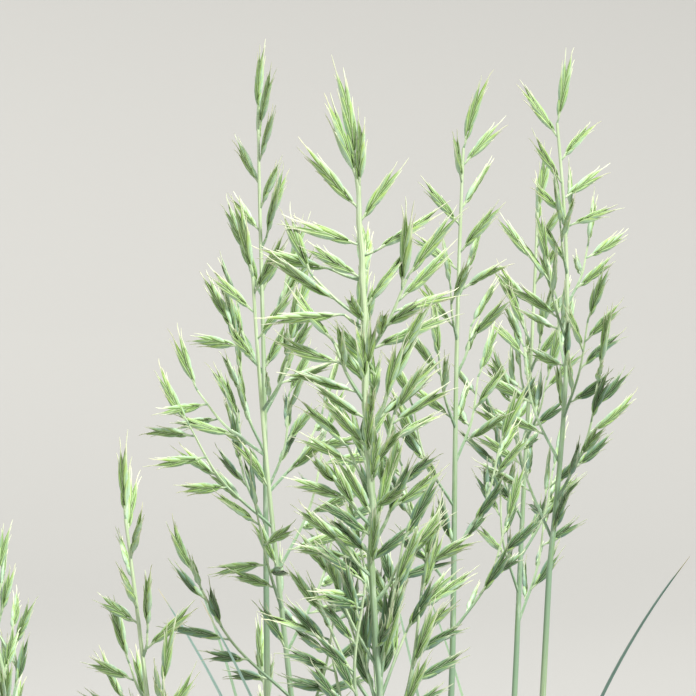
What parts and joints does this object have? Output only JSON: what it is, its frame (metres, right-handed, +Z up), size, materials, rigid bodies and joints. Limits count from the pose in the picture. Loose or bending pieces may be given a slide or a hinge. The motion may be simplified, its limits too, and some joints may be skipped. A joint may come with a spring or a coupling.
{
  "type": "potted blue fescue clump",
  "caption": "Clump of blue fescue grass in a plain clay pot: a dome of needle leaves under tall upright stalks with feathery blue-green flower heads.",
  "frame": {"origin": "middle of the pot's base, on the surface that it stands on", "axes": "+Z up, -Y towards the front, +X to the right seen from the front"},
  "size_m": [0.256, 0.256, 0.4375],
  "materials": {
    "terracotta": "matte",
    "potting_soil": "matte",
    "fescue_leaf": "matte",
    "fescue_culm": "satin",
    "fescue_spikelet": "matte"
  },
  "bodies": {
    "root": {"pot": "terracotta", "potting_soil": "potting_soil", "leaf_tuft": "fescue_leaf", "culm_01": "fescue_culm", "culm_02": "fescue_culm", "culm_03": "fescue_culm", "culm_04": "fescue_culm", "culm_05": "fescue_culm", "culm_06": "fescue_culm", "culm_07": "fescue_culm", "culm_08": "fescue_culm", "culm_09": "fescue_culm", "culm_10": "fescue_culm", "culm_11": "fescue_culm", "culm_12": "fescue_culm", "culm_13": "fescue_culm", "culm_14": "fescue_culm", "culm_15": "fescue_culm", "panicle_01": "fescue_spikelet", "panicle_02": "fescue_spikelet", "panicle_03": "fescue_spikelet", "panicle_04": "fescue_spikelet", "panicle_05": "fescue_spikelet", "panicle_06": "fescue_spikelet", "panicle_07": "fescue_spikelet", "panicle_08": "fescue_spikelet", "panicle_09": "fescue_spikelet", "panicle_10": "fescue_spikelet", "panicle_11": "fescue_spikelet", "panicle_12": "fescue_spikelet", "panicle_13": "fescue_spikelet", "panicle_14": "fescue_spikelet", "panicle_15": "fescue_spikelet", "culm_leaf_01": "fescue_leaf", "culm_leaf_02": "fescue_leaf", "culm_leaf_04": "fescue_leaf", "culm_leaf_05": "fescue_leaf", "culm_leaf_06": "fescue_leaf", "culm_leaf_07": "fescue_leaf", "culm_leaf_08": "fescue_leaf", "culm_leaf_10": "fescue_leaf"}
  },
  "joints": []
}
